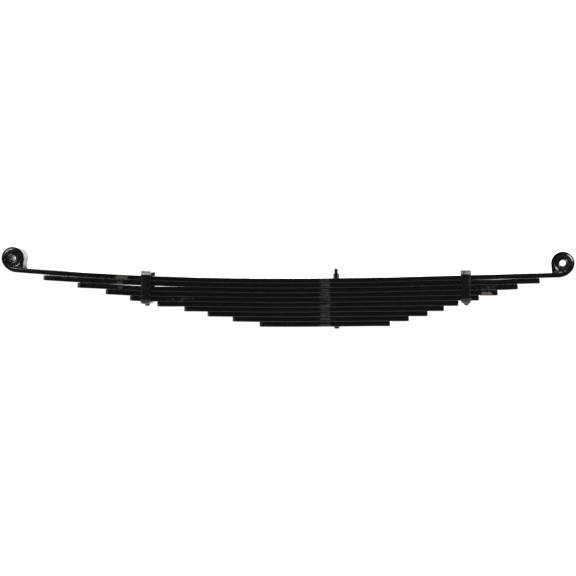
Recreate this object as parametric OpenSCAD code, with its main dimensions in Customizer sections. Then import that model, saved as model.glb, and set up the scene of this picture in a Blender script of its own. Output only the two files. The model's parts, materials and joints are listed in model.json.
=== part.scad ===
// Multi-leaf suspension spring with ten leaves, a long and a short arm, two upturned
// eyes with bonded bushes, two rebound clips and a centre bolt.
// X runs along the spring towards the short arm, Y across the leaves, Z up.
// The origin is on the centre bolt's axis, on the underside of the shortest leaf.

/* [Leaf pack] */
// Width of every leaf
leaf_width = 76; // [70:1:80]
// Thickness of every leaf
leaf_thickness = 13.25; // [12:0.05:13.5]
// Paint and mill gap between two leaves at the seat
leaf_gap = 0.15; // [0.15:0.05:0.5]
// Length of the flat clamped seat in the middle
seat_length = 100; // [80:2:120]
// Radius that the long arm is bent to
long_radius = 9000; // [7000:100:12000]
// Radius that the short arm is bent to next to the seat
short_radius = 8000; // [7000:100:12000]
// Length of the bent stretch of the short arm, which is straight beyond it
short_bent = 130; // [60:1:160]
// How far the corners of a leaf's end are trimmed
corner_trim = 8; // [4:1:12]

/* [Leaf ends] */
// Distance from the bolt to each leaf's end on the long arm, second leaf first
long_ends = [818, 722, 643, 575, 498, 423, 358, 288, 213]; // each [150:1:840]
// Distance from the bolt to each leaf's end on the short arm, second leaf first
short_ends = [562, 502, 447, 395, 339, 299, 254, 202, 150]; // each [120:1:580]

/* [Openings between the leaves] */
// Gap that two neighbours have opened to at the end of the long arm
long_opening = 2.6; // [0:0.1:3]
// Gap that two neighbours have opened to at the end of the short arm
short_opening = 1.5; // [0:0.1:1.8]
// Height of the gap around the long clip, under the second leaf
long_bow = 1.9; // [0:0.1:4]
// Height of the gap outside the short clip, under the main leaf
short_bow = 1.3; // [0:0.1:4]

/* [Eyes] */
// Distance from the bolt to the centre of the long arm's eye
long_eye_x = 901.5; // [880:0.5:920]
// Distance from the bolt to the centre of the short arm's eye
short_eye_x = 624.5; // [615:0.5:640]
// Radius of the hole in an eye
eye_radius = 21; // [20:0.5:21.5]
// Height of an eye's centre over the leaf's upper surface
eye_rise = 25; // [24:0.5:26]
// Outer radius of the eye's wrap where it starts, under the hole
wrap_start_radius = 32; // [31:0.5:32]
// How far the wrap leans in towards the bush where it comes down to the leaf
wrap_lean = 1.8; // [0:0.1:3]
// How far the wrap stands off the bush where it comes down to the leaf
wrap_lift = 1.7; // [0.5:0.1:2.5]

/* [Bushes] */
// Wall of the steel sleeve pressed into the eye
outer_sleeve_wall = 1.5; // [1.5:0.5:2.5]
// Length of the outer sleeve
outer_sleeve_length = 74; // [70:1:76]
// Length of the rubber
rubber_length = 70; // [60:1:72]
// Radius of the inner sleeve
inner_sleeve_radius = 14.1; // [13.5:0.1:14.8]
// Radius of the bore for the hanger's pin in the short arm's eye
hanger_bore_radius = 9.5; // [8:0.1:12]
// Radius of the bore for the shackle's pin in the long arm's eye
shackle_bore_radius = 9.5; // [8:0.1:12]
// Length of the inner sleeve
inner_sleeve_length = 82; // [78:1:90]

/* [Rebound clips] */
// Distance from the bolt to the clip on the long arm
long_clip_x = 529; // [515:1:535]
// Distance from the bolt to the clip on the short arm
short_clip_x = 359.5; // [355:0.5:370]
// Width of the clip's strap
strap_width = 27; // [20:1:30]
// Thickness of the clip's strap
strap_thickness = 6; // [4:0.5:7]
// Clearance between the leaves and the strap on each side
strap_side_gap = 0.5; // [0.4:0.1:2]
// Clearance between the main leaf and the lugs bent over it
strap_top_gap = 8; // [1:0.5:9]
// Clearance between the riveted leaf's curved underside and the strap's flat base
strap_base_gap = 1.4; // [0.4:0.1:2]
// Length of each lug bent over the main leaf
lug_length = 37; // [15:1:38]
// Radius of the clip rivet's shank
rivet_radius = 5; // [4:0.5:6]

/* [Centre bolt] */
// Radius of the bolt's shank
bolt_radius = 4.76; // [4:0.01:5]
// Radius of the round head that locates the spring on its axle seat
head_radius = 7.3; // [6.5:0.05:8]
// Height of the round head
head_height = 7.5; // [5:0.5:10]
// Height of the nut
nut_height = 12; // [8:0.5:13]
// Width of the nut across its flats
nut_across_flats = 14.3; // [14:0.1:17]
// Length of thread that stands out of the nut
thread_end = 13; // [6:1:20]

/* [Hidden] */

leaf_count = 10;
clipped_leaf = 5;
leaf_pitch = leaf_thickness + leaf_gap;
seat_half = seat_length / 2;
main_top = leaf_count * leaf_pitch - leaf_gap;

station_step = 20;
arc_step = 7.5;
round_fn = 64;

long_opening_from = 250;
short_opening_from = 100;
long_bow_span = [-668, -375];
short_bow_span = [370, 512];

wrap_start_angle = -45;
wrap_flat_angle = -90;
wrap_down_angle = 180;
wrap_lift_span = [190, 252];
wrap_scarf_angle = 240;
wrap_tip_angle = 270;
tip_gap = 0.4;
tip_rise = 1.4;
bore_stock = 0.4;

press_clearance = 0.03;
bond_clearance = 0.05;
hole_clearance = 0.25;
rivet_clearance = 0.05;
thread_clearance = 0.15;

bend_radius = 1;
base_taper = 3;
rivet_dome_radius = 7.8;
rivet_dome_height = 7.5;
rivet_sink_radius = 7.5;
rivet_sink_depth = 4;
rivet_flush_gap = 0.1;
head_edge = 1.2;
thread_chamfer = 1.2;

paint = [0.07, 0.075, 0.075];
steel = [0.55, 0.56, 0.57];
rubber = [0.12, 0.12, 0.12];

// ---- Curves that the leaves follow --------------------------------------------------

// Rise of a circle of radius r at distance d from where it leaves the flat
function arc_rise(r, d) = r - sqrt(r * r - d * d);

// Rise of the short arm, which is bent next to the seat and straight after that
function short_rise(d) = d <= short_bent
    ? arc_rise(short_radius, d)
    : arc_rise(short_radius, short_bent) + (d - short_bent) * short_slope;
short_slope = short_bent / sqrt(short_radius * short_radius - short_bent * short_bent);

// Rise of the pack over its seat at x
function camber(x) = x < -seat_half ? arc_rise(long_radius, -seat_half - x)
    : x > seat_half ? short_rise(x - seat_half)
    : 0;

// A round hump of height 1 over a span, flat outside it
function hump(x, span) = x <= span[0] || x >= span[1]
    ? 0
    : (1 - cos(360 * (x - span[0]) / (span[1] - span[0]))) / 2;

// How far two neighbours have opened at x
function opening(x) =
    x < -long_opening_from
    ? long_opening * pow((-x - long_opening_from) / (long_ends[0] - long_opening_from), 2)
    : x > short_opening_from
    ? short_opening * pow((x - short_opening_from) / (short_ends[0] - short_opening_from), 1.2)
    : 0;

// How far leaf k hangs below the place that a tight pack would give it
function drop(k, x) = (k - 1) * opening(x)
    + (k >= 2 ? short_bow * hump(x, short_bow_span) : 0)
    + (k >= 3 ? long_bow * hump(x, long_bow_span) : 0);

// Height of the underside of leaf k at x
function underside(k, x) = (leaf_count - k) * leaf_pitch + camber(x) - drop(k, x);

// Slope angle of leaf k at x, positive where it rises towards +X
function slope_angle(k, x) = atan(underside(k, x + 0.5) - underside(k, x - 0.5));

// Points of leaf k's underside and of its upper side, square to it, at x
function lower_point(k, x) = [x, underside(k, x)];
function upper_point(k, x) = let (a = slope_angle(k, x))
    [x - leaf_thickness * sin(a), underside(k, x) + leaf_thickness * cos(a)];

// Places along a leaf from one end to the other, both ends included
function stations(from, to) = let (n = ceil((to - from) / station_step))
    [for (i = [0 : n]) from + (to - from) * i / n];

function reversed(list) = [for (i = [len(list) - 1 : -1 : 0]) list[i]];

// Side view of leaf k between two ends
function leaf_outline(k, from, to) = let (xs = stations(from, to)) concat(
    [for (x = xs) lower_point(k, x)],
    [for (x = reversed(xs)) upper_point(k, x)]
);

// ---- Eyes ---------------------------------------------------------------------------
// An eye is drawn in its own frame: the leaf comes in along +X with its upper surface at
// y = -eye_rise, and the eye's centre is the origin.

// Distance inboard and above the eye's centre of the arc that leads the leaf into the wrap
lead_offset = (eye_rise - eye_radius) / (sqrt(2) - 1);
lead_radius = eye_rise + lead_offset;

function polar(r, a) = [r * cos(a), r * sin(a)];
function wrap_inner(a) = eye_radius - bore_stock
    + (wrap_lift + bore_stock) * hump(a, wrap_lift_span);
// Depth of the wrap's foot under the eye's centre: just over the leaf, rising at the tip
function wrap_floor(a) = eye_rise - tip_gap
    - tip_rise * max(0, (a - wrap_scarf_angle) / (wrap_tip_angle - wrap_scarf_angle));
// Round to where the wrap heads down, then straight down, then along the leaf to the tip
function wrap_outer(a) = a <= wrap_down_angle
    ? wrap_start_radius
    : let (below = a - wrap_down_angle)
        min(wrap_start_radius / (cos(below) + wrap_lean / eye_rise * sin(below)),
            wrap_floor(a) / sin(below));
function lead_thickness(a) = leaf_thickness
    + (wrap_start_radius - eye_radius - leaf_thickness) * (a - wrap_flat_angle) / (wrap_start_angle - wrap_flat_angle);

lead_centre = [-lead_offset, lead_offset];
lead_angles = [wrap_flat_angle : arc_step : wrap_start_angle - arc_step / 2];
wrap_angles = [wrap_start_angle : arc_step : wrap_tip_angle];

// From the leaf's underside, out round the wrap to its tip and back inside to the leaf's top
eye_outline = concat(
    [for (a = lead_angles) lead_centre + polar(lead_radius + lead_thickness(a), a)],
    [for (a = wrap_angles) polar(wrap_outer(a), a)],
    reversed([for (a = wrap_angles) polar(wrap_inner(a), a)]),
    reversed([for (a = lead_angles) lead_centre + polar(lead_radius, a)])
);

// Slope of each arm where its eye starts, and the eye's centre
long_angle = -slope_angle(1, -long_eye_x);
short_angle = slope_angle(1, short_eye_x);
long_root_x = long_eye_x - lead_offset * cos(long_angle) + eye_rise * sin(long_angle);
short_root_x = short_eye_x - lead_offset * cos(short_angle) + eye_rise * sin(short_angle);

// The eye's centre, counted from the point of the leaf's upper surface that it starts at
function eye_reach(a) = [
    lead_offset * cos(a) - eye_rise * sin(a),
    lead_offset * sin(a) + eye_rise * cos(a)
];
function main_upper(x) = main_top + camber(x);
long_eye = [-long_eye_x, main_upper(-long_root_x) + eye_reach(long_angle)[1]];
short_eye = [short_eye_x, main_upper(short_root_x) + eye_reach(short_angle)[1]];

// A point of the eye's frame, turned to the slope of its arm and moved to its place
function turned(p, a) = [p[0] * cos(a) - p[1] * sin(a), p[0] * sin(a) + p[1] * cos(a)];
function on_short(p) = short_eye + turned(p, short_angle);
function on_long(p) = let (q = turned(p, long_angle)) [long_eye[0] - q[0], long_eye[1] + q[1]];

eye_margin = 6;
main_stations = stations(-long_root_x + eye_margin, short_root_x - eye_margin);
main_outline = concat(
    [for (x = main_stations) lower_point(1, x)],
    [for (p = eye_outline) on_short(p)],
    [for (x = reversed(main_stations)) upper_point(1, x)],
    [for (p = reversed(eye_outline)) on_long(p)]
);

// ---- Helpers ------------------------------------------------------------------------

// A side view in X and Z, given the width w across the spring
module across(w) {
    rotate([90, 0, 0]) linear_extrude(height = w, center = true) children();
}

// A round bar or hole across the spring, centred on an eye
module eye_cylinder(centre, r, length) {
    translate([centre[0], 0, centre[1]]) rotate([90, 0, 0])
        cylinder(r = r, h = length, center = true, $fn = round_fn);
}

module eye_ring(centre, outer, inner, length) {
    difference() {
        eye_cylinder(centre, outer, length);
        eye_cylinder(centre, inner, length + 2);
    }
}

module bolt_hole() {
    translate([0, 0, -1])
        cylinder(r = bolt_radius + hole_clearance, h = main_top + 2, $fn = round_fn);
}

// The frame of a clip: origin on the underside of the riveted leaf, X along the leaf
module at_clip(x) {
    translate([x, 0, underside(clipped_leaf, x)])
        rotate([0, -slope_angle(clipped_leaf, x), 0]) children();
}

// ---- Leaves -------------------------------------------------------------------------

// Plan view of a leaf with trimmed corners
module leaf_plan(from, to) {
    half = leaf_width / 2;
    polygon([
        [from, half - corner_trim], [from + corner_trim, half],
        [to - corner_trim, half], [to, half - corner_trim],
        [to, corner_trim - half], [to - corner_trim, -half],
        [from + corner_trim, -half], [from, corner_trim - half]
    ]);
}

module short_leaf(k) {
    from = -long_ends[k - 2];
    to = short_ends[k - 2];
    end_room = 3;
    color(paint) difference() {
        intersection() {
            across(leaf_width) polygon(leaf_outline(k, from, to));
            translate([0, 0, -1]) linear_extrude(height = 2 * main_top)
                leaf_plan(from - end_room, to + end_room);
        }
        bolt_hole();
        if (k == clipped_leaf) {
            rivet_hole(-long_clip_x);
            rivet_hole(short_clip_x);
        }
    }
}

module main_leaf() {
    color(paint) difference() {
        across(leaf_width) polygon(main_outline);
        eye_cylinder(long_eye, eye_radius, leaf_width + 2);
        eye_cylinder(short_eye, eye_radius, leaf_width + 2);
        bolt_hole();
    }
}

// ---- Rebound clips ------------------------------------------------------------------

// Height of the strap's outer face under the leaves, in the clip's frame
strap_base = -strap_base_gap - strap_thickness;

module rivet_hole(x) {
    sink = leaf_thickness - rivet_sink_depth;
    at_clip(x) {
        translate([0, 0, -1])
            cylinder(r = rivet_radius + rivet_clearance, h = leaf_thickness + 2, $fn = round_fn);
        translate([0, 0, sink])
            cylinder(r1 = rivet_radius + rivet_clearance, r2 = rivet_sink_radius + rivet_clearance,
                h = rivet_sink_depth, $fn = round_fn);
        translate([0, 0, leaf_thickness])
            cylinder(r = rivet_sink_radius + rivet_clearance, h = 1, $fn = round_fn);
    }
}

// Corner of the strap's outline: an arc about a centre from one angle to another
function corner(centre, r, from, to) = [for (i = [0 : 6]) centre + polar(r, from + (to - from) * i / 6)];

// Cross-section of a clip in Y and Z: a strap bent up both sides and over the top
module strap_section(height) {
    half = leaf_width / 2 + strap_side_gap;
    top = height + strap_top_gap;
    outer = bend_radius + strap_thickness;
    bottom = -strap_base_gap;
    y = half - bend_radius;
    lug = half - lug_length;
    right = concat(
        corner([y, bottom + bend_radius], outer, -90, 0),
        corner([y, top - bend_radius], outer, 0, 90),
        [[lug, top + strap_thickness], [lug, top]],
        reversed(corner([y, top - bend_radius], bend_radius, 0, 90)),
        reversed(corner([y, bottom + bend_radius], bend_radius, -90, 0))
    );
    left = [for (p = reversed(right)) [-p[0], p[1]]];
    polygon(concat(right, left));
}

// Front view of a clip: straight above, narrowing under the leaves
module strap_face(height) {
    half = strap_width / 2;
    top = height + strap_top_gap + strap_thickness + 1;
    polygon([
        [base_taper - half, strap_base], [half - base_taper, strap_base],
        [half, 0], [half, top], [-half, top], [-half, 0]
    ]);
}

module rebound_clip(x) {
    height = (main_top + camber(x) - underside(clipped_leaf, x)) * cos(slope_angle(clipped_leaf, x));
    color(paint) at_clip(x) difference() {
        intersection() {
            rotate([90, 0, 90]) linear_extrude(height = strap_width, center = true)
                strap_section(height);
            across(leaf_width + 4 * strap_thickness) strap_face(height);
        }
        translate([0, 0, strap_base - 1])
            cylinder(r = rivet_radius + rivet_clearance, h = strap_thickness + 2, $fn = round_fn);
    }
}

// Half section of a rivet: dome under the strap, shank, flush countersunk end
module clip_rivet(x) {
    top = leaf_thickness - rivet_flush_gap;
    dome_steps = 6;
    dome = [for (i = [0 : dome_steps])
        [rivet_dome_radius * sin(90 * i / dome_steps),
         strap_base - rivet_dome_height * cos(90 * i / dome_steps)]];
    color(paint) at_clip(x) rotate_extrude($fn = round_fn) polygon(concat(dome, [
        [rivet_radius, strap_base],
        [rivet_radius, leaf_thickness - rivet_sink_depth],
        [rivet_sink_radius - rivet_flush_gap, top],
        [0, top]
    ]));
}

// ---- Bushes -------------------------------------------------------------------------

module outer_sleeve(centre) {
    outer = eye_radius - press_clearance;
    color(steel) eye_ring(centre, outer, outer - outer_sleeve_wall, outer_sleeve_length);
}

module bush_rubber(centre) {
    outer = eye_radius - press_clearance - outer_sleeve_wall;
    color(rubber) eye_ring(centre, outer, inner_sleeve_radius + bond_clearance, rubber_length);
}

module inner_sleeve(centre, bore) {
    color(steel) eye_ring(centre, inner_sleeve_radius, bore, inner_sleeve_length);
}

// ---- Centre bolt --------------------------------------------------------------------

module centre_bolt() {
    end = main_top + nut_height + thread_end;
    color(paint) rotate_extrude($fn = round_fn) polygon([
        [0, -head_height], [head_radius - head_edge, -head_height],
        [head_radius, head_edge - head_height], [head_radius, 0],
        [bolt_radius, 0], [bolt_radius, end - thread_chamfer],
        [bolt_radius - thread_chamfer, end], [0, end]
    ]);
}

module centre_bolt_nut() {
    corner_radius = nut_across_flats / sqrt(3);
    color(paint) translate([0, 0, main_top]) difference() {
        cylinder(r = corner_radius, h = nut_height, $fn = 6);
        translate([0, 0, -1])
            cylinder(r = bolt_radius + thread_clearance, h = nut_height + 2, $fn = round_fn);
    }
}

main_leaf();  // leaf_01_main
for (k = [2 : leaf_count])
    short_leaf(k);
centre_bolt();
centre_bolt_nut();
rebound_clip(short_clip_x);  // front_rebound_clip
rebound_clip(-long_clip_x);  // rear_rebound_clip
clip_rivet(short_clip_x);  // front_clip_rivet
clip_rivet(-long_clip_x);  // rear_clip_rivet
outer_sleeve(short_eye);  // front_bush_outer_sleeve
outer_sleeve(long_eye);  // rear_bush_outer_sleeve
bush_rubber(short_eye);  // front_bush_rubber
bush_rubber(long_eye);  // rear_bush_rubber
inner_sleeve(short_eye, hanger_bore_radius);  // front_bush_inner_sleeve
inner_sleeve(long_eye, shackle_bore_radius);  // rear_bush_inner_sleeve
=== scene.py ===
"""Looks of a ten-leaf suspension spring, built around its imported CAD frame.

Everything is in metres in the frame's axes: X runs along the spring towards its short arm,
Y across the leaves, Z up. The camera looks along +Y.
"""

import json
import math

import bmesh
import bpy
from mathutils import Matrix, Vector
from mathutils.bvhtree import BVHTree


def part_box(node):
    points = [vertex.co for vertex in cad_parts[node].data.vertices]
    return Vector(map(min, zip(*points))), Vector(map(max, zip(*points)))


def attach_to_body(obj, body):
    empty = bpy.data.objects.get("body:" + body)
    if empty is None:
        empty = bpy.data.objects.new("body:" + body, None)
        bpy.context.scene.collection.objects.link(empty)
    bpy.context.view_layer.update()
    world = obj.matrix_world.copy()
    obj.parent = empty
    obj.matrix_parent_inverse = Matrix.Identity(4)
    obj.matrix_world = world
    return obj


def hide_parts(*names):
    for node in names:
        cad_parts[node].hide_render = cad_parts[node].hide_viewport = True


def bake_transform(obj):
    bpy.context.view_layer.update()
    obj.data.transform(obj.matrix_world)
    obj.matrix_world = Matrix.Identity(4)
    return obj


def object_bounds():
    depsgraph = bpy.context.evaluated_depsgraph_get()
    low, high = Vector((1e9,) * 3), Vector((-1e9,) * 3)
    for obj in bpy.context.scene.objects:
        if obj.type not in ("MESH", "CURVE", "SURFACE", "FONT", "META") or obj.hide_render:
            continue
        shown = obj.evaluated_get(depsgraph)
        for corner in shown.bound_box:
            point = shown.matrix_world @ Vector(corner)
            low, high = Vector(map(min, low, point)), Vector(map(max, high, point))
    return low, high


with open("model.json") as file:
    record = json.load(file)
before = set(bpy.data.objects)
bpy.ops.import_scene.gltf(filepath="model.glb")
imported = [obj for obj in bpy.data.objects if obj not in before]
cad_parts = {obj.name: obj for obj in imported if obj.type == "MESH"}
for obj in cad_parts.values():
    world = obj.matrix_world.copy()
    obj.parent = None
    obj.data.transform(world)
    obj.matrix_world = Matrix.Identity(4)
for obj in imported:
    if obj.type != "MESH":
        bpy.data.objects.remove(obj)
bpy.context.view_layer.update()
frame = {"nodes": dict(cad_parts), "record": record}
MM = 0.001
MOUNTS = {m["name"]: m for m in frame["record"]["mounts"]}

# ---- Facts about the object, in metres ----------------------------------------------------
LEAVES = [name for name in sorted(frame["nodes"]) if name.startswith("leaf_")]
MAIN, LOWER = LEAVES[0], LEAVES[1:]
HALF_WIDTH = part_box(MAIN)[1].y
THICKNESS = 13.25 * MM
EDGE_RADIUS = 1.5 * MM        # rounded rolled edges of the bar
EDGE_CROWN = 0.06 * MM        # the side faces bulge by this much
CORNER_TRIM = 8 * MM          # trimmed corners of a leaf's end
TIP_ROUND = 2.2 * MM          # rounding of a leaf's sheared end
RING_STEP = 14 * MM           # from one ring of a leaf to the next
END_MARGIN = 9 * MM           # the shaped stretch at a leaf's end
END_STEPS = (0.62, 0.46, 0.32, 0.20, 0.11, 0.045, 0.012)  # its rings, in shares of it from the tip
END_AIM = 5 * MM              # that stretch runs straight on from this far before it

# an arm bends between the two X of "bend"
ARMS = {
    "front": {"sign": 1, "eye_body": "front_eye", "clip_body": "front_clip",
              "pin_body": "front_pin_sleeve", "bend": (0.080, 0.586)},
    "rear": {"sign": -1, "eye_body": "rear_eye", "clip_body": "rear_clip",
             "pin_body": "rear_pin_sleeve", "bend": (-0.080, -0.866)},
}
for side, arm in ARMS.items():
    mount = MOUNTS[f"{side}_eye_bore"]
    arm["eye"] = Vector(mount["pos_m"])
    arm["bore"] = mount["dims"]["r_mm"] * MM

EYE_RADIUS = 21 * MM          # inside of the eye
EYE_RISE = 25 * MM            # from the leaf's upper surface to the eye's centre
EYE_REACH = 40 * MM           # the leaf's last plain ring is this far from the eye's centre
# the leaf turns up round a centre that is this far off the eye's, along X and Z
LEAD_OFFSET = (EYE_RISE - EYE_RADIUS) / (math.sqrt(2) - 1)
WRAP_RADIUS = 32 * MM         # outside of the eye
WRAP_LEAN = 1.8 * MM          # how far the wrap leans in where it comes down to the leaf
WRAP_LIFT = 0.9 * MM          # how far it stands off the bush there, at most
WRAP_LIFT_SPAN = (190, 252)   # and between which angles
WRAP_TIP_GAP = 0.4 * MM       # between the wrap's tip and the leaf's upper surface
WRAP_ANGLES = (-45, 180, 282)  # the wrap's start, where it heads straight down, its tip
WRAP_TIP_RISE = (240, 270, 1.4 * MM)  # the tip rises between these angles, by this much
WRAP_TIP_SHRINK = (0.1, 0.6)  # the shares by which the wrap's last two rings are thinner
EYE_FACE_SLANT = 0.95 * MM    # rolling widens the inside of the wrap more than its outside
EYE_FACE_CROWN = 0.35 * MM    # the eye's side faces bulge by this much
PROBE_Y = 20 * MM             # clear of the bolt's and rivets' holes


# ---- Mesh helpers -------------------------------------------------------------------------
def make_object(name, verts, faces, material, smooth_below=32, attributes=None):
    """A mesh object whose edges are smooth below an angle in degrees."""
    mesh = bpy.data.meshes.new(name)
    mesh.from_pydata([tuple(v) for v in verts], [], faces)
    mesh.validate()
    mesh.polygons.foreach_set("use_smooth", [True] * len(mesh.polygons))
    mesh.set_sharp_from_angle(angle=math.radians(smooth_below))
    for key, values in (attributes or {}).items():
        mesh.attributes.new(key, "FLOAT", "POINT").data.foreach_set("value", values)
    mesh.update()
    mesh.materials.append(material)
    obj = bpy.data.objects.new(name, mesh)
    bpy.context.scene.collection.objects.link(obj)
    return obj


def loft(rings, closed=False):
    """Vertices and faces that join equal rings, capped at both ends unless the loft is closed."""
    count, size = len(rings), len(rings[0])
    verts = [p for ring in rings for p in ring]
    faces = []
    for i in range(count if closed else count - 1):
        a, b = i * size, ((i + 1) % count) * size
        for j in range(size):
            k = (j + 1) % size
            faces.append((a + j, a + k, b + k, b + j))
    if not closed:
        faces.append(tuple(range(size))[::-1])
        faces.append(tuple((count - 1) * size + j for j in range(size)))
    return verts, faces


def polar(centre, radius, angle):
    """A point of a circle in a plane, at an angle in degrees."""
    return (centre[0] + radius * math.cos(math.radians(angle)),
            centre[1] + radius * math.sin(math.radians(angle)))


def arc(centre, radius, start, end, steps):
    """Points of an arc in a plane, with angles in degrees."""
    return [polar(centre, radius, start + (end - start) * i / steps) for i in range(steps + 1)]


def smoothstep(value, low, high):
    """An eased rise from 0 to 1 between two values."""
    t = min(1.0, max(0.0, (value - low) / (high - low)))
    return t * t * (3 - 2 * t)


def hump(value, low, high):
    """A round hump of height 1 between two values."""
    t = min(1.0, max(0.0, (value - low) / (high - low)))
    return (1 - math.cos(2 * math.pi * t)) / 2


def bar_section(half_width, half_thick, radius, crown, flat_steps=6, slant=0.0):
    """Cross-section of a rolled bar in (across, up), counter-clockwise, and how near each
    point is to a rounded edge, from 0 to 1. A slant makes the lower side that much narrower."""
    side_steps, corner_steps = 6, 5
    face_gap, flat_gap = 4, 6     # degrees that a corner's arc stops short of the faces beside it
    y, z = half_width - crown - radius, half_thick - radius
    lower = arc((y, -z), radius, flat_gap - 90, -face_gap, corner_steps)
    upper = arc((y, z), radius, face_gap, 90 - flat_gap, corner_steps)
    face = [(half_width - crown * (2 * i / side_steps - 1) ** 2, -z + 2 * z * i / side_steps)
            for i in range(1, side_steps)]
    right = [(p, 1.0) for p in lower] + [(p, 0.0) for p in face] + [(p, 1.0) for p in upper]
    left = [((-across, up), e) for (across, up), e in reversed(right)]
    top = [((y - 2 * y * i / flat_steps, half_thick), 0.0) for i in range(1, flat_steps)]
    bottom = [((-y + 2 * y * i / flat_steps, -half_thick), 0.0) for i in range(1, flat_steps)]
    section = right + top + left + bottom
    narrow = [1 - slant * (1 - up / half_thick) / 2 / half_width for (_, up), _ in section]
    return ([(across * n, up) for ((across, up), _), n in zip(section, narrow)],
            [e for _, e in section])


class Underside:
    """Height of a CAD leaf's lower surface along the spring."""

    def __init__(self, node):
        mesh = frame["nodes"][node].data
        mesh.calc_loop_triangles()
        self.tree = BVHTree.FromPolygons([v.co for v in mesh.vertices],
                                         [t.vertices for t in mesh.loop_triangles])

    def at(self, x):
        return self.tree.ray_cast(Vector((x, PROBE_Y, -1)), Vector((0, 0, 1)))[0].z


def frame_at(underside, x, reach=4 * MM):
    """Centre of a leaf's section at x, and the slope of the leaf there."""
    lower = Vector((x, underside.at(x)))
    before, after = underside.at(x - reach), underside.at(x + reach)
    slope = math.atan2(after - before, 2 * reach)
    up = Vector((-math.sin(slope), math.cos(slope)))
    return lower + up * (THICKNESS / 2), slope


def section_ring(centre, slope, section):
    """Section points put square to a line of that slope in the X-Z plane."""
    sin, cos = math.sin(slope), math.cos(slope)
    return [Vector((centre.x - z * sin, y, centre.y + z * cos)) for y, z in section]


# ---- Leaves -------------------------------------------------------------------------------
def leaf_rings(underside, end):
    """Rings of half a leaf, from the middle of the spring to the leaf's end."""
    sign = 1 if end > 0 else -1
    length = abs(end)
    plain = length - END_MARGIN
    steps = max(6, int(plain / RING_STEP))
    body = [plain * i / steps for i in range(steps + 1)]
    tip = [CORNER_TRIM] + [END_MARGIN * share for share in END_STEPS]
    least_radius, tip_wear = 0.35 * MM, 0.6
    rings, edges = [], []
    edge_centre, edge_slope = frame_at(underside, sign * (plain - END_AIM))
    for distance in body + [length - t for t in tip]:
        left = length - distance
        if left > END_MARGIN * 0.99:
            centre, slope = frame_at(underside, sign * distance)
        else:
            run = sign * distance - edge_centre.x
            centre = edge_centre + Vector((run, run * math.tan(edge_slope)))
            slope = edge_slope
        trim = max(0.0, CORNER_TRIM - left)
        soft = 0.0
        if left < TIP_ROUND:
            soft = TIP_ROUND - math.sqrt(max(0.0, TIP_ROUND ** 2 - (TIP_ROUND - left) ** 2))
        radius = max(least_radius, EDGE_RADIUS - soft)
        points, edge = bar_section(HALF_WIDTH - trim - soft, THICKNESS / 2 - soft, radius, EDGE_CROWN)
        rings.append(section_ring(centre, slope, points))
        edges.extend(edge if left > END_MARGIN else [max(e, tip_wear) for e in edge])
    return rings, edges


def lower_leaf(node, material):
    """A leaf under the main one, as two halves that meet at the middle."""
    underside = Underside(node)
    low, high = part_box(node)
    for side, end in (("front", high.x), ("rear", low.x)):
        rings, edges = leaf_rings(underside, end)
        finish_leaf(node, side, rings, edges, material)


def finish_leaf(node, side, rings, edges, material):
    """Makes half a leaf from its rings."""
    verts, faces = loft(rings)
    piece = make_object(f"{node}.{side}", verts, faces, material, 40, {"edge": edges})
    recalculate(piece)
    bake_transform(piece)
    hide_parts(node)


def recalculate(obj):
    """Turns every face of a closed mesh outwards."""
    work = bmesh.new()
    work.from_mesh(obj.data)
    bmesh.ops.recalc_face_normals(work, faces=work.faces)
    work.to_mesh(obj.data)
    work.free()


def attach(piece, body, node):
    """Lets a closed piece ride a body, in the place of a CAD node."""
    recalculate(piece)
    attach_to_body(piece, body)
    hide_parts(node)


def lead_distance(angle):
    """From the eye's centre to the curve that leads the leaf up into the eye."""
    a = math.radians(angle)
    half_b = LEAD_OFFSET * (math.cos(a) - math.sin(a))
    c = 2 * LEAD_OFFSET ** 2 - (EYE_RISE + LEAD_OFFSET) ** 2
    return math.sqrt(half_b ** 2 - c) - half_b


def wrap_outer(angle):
    """Outer radius of the wrap: round, then straight down, then along the leaf to the tip."""
    below = math.radians(angle - WRAP_ANGLES[1])
    if below <= 0:
        return WRAP_RADIUS
    rise_from, rise_to, rise = WRAP_TIP_RISE
    floor = EYE_RISE - WRAP_TIP_GAP - rise * max(0.0, (angle - rise_from) / (rise_to - rise_from))
    if angle > rise_to:
        return lead_distance(angle) - WRAP_TIP_GAP
    return min(WRAP_RADIUS / (math.cos(below) + WRAP_LEAN / EYE_RISE * math.sin(below)),
               floor / math.sin(below))


def eye_stations():
    """Inner and outer points of the eye in its own frame, and the share of the eye's slanted
    side face there. The leaf comes in along +X with its upper surface EYE_RISE under the
    eye's centre, which is the origin."""
    lead_centre, lead_radius = (-LEAD_OFFSET, LEAD_OFFSET), EYE_RISE + LEAD_OFFSET
    start, _, tip = WRAP_ANGLES
    lead_steps, wrap_steps = 8, 63
    stations = []
    for i in range(lead_steps):
        share = i / lead_steps
        angle = -90 + (start + 90) * i / lead_steps
        grown = THICKNESS + (WRAP_RADIUS - EYE_RADIUS - THICKNESS) * i / lead_steps
        radii = (lead_radius, lead_radius + grown)
        stations.append([polar(lead_centre, r, angle) for r in radii] + [share])
    for i in range(wrap_steps + 1):
        angle = start + (tip - start) * i / wrap_steps
        inner = EYE_RADIUS + WRAP_LIFT * hump(angle, *WRAP_LIFT_SPAN)
        stations.append([polar((0, 0), r, angle) for r in (inner, wrap_outer(angle))] + [1.0])
    return stations


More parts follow.
